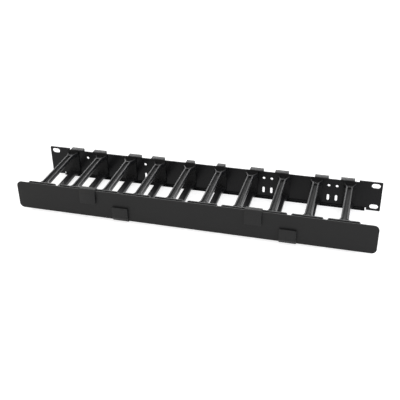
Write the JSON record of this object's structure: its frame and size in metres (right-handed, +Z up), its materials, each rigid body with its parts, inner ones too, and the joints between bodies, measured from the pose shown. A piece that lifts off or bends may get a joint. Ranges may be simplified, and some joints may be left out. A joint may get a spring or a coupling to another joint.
{
  "type": "horizontal cable manager",
  "caption": "One-unit rack panel with a row of forked T-headed cable fingers and a flat cover that swings up on four clips.",
  "frame": {"origin": "middle of the mounting panel's rear face, which lies on the rack's rails", "axes": "+X to the right along the panel, +Y back into the rack, +Z up"},
  "size_m": [0.4826, 0.1156, 0.0436],
  "materials": {
    "panel_paint": "smooth black powder coat, half gloss",
    "finger_plastic": "moulded black nylon, fine grain",
    "cover_paint": "fine-textured black powder coat, matte",
    "clip_plastic": "moulded black nylon, fine grain"
  },
  "bodies": {
    "frame": {"rear_panel": "panel_paint", "finger_01": "finger_plastic", "finger_02": "finger_plastic", "finger_03": "finger_plastic", "finger_04": "finger_plastic", "finger_05": "finger_plastic", "finger_06": "finger_plastic", "finger_07": "finger_plastic", "finger_08": "finger_plastic", "finger_09": "finger_plastic", "finger_10": "finger_plastic"},
    "cover_set": {"cover": "cover_paint", "clip_top_left": "clip_plastic", "clip_top_right": "clip_plastic", "clip_bottom_left": "clip_plastic", "clip_bottom_right": "clip_plastic"}
  },
  "joints": [
    {"name": "cover_hinge", "type": "hinge", "parent": "frame", "child": "cover_set", "pos_m": [0, -0.1025, 0.0187], "axis": [-1, 0, 0], "range_deg": [0, 120]}
  ]
}
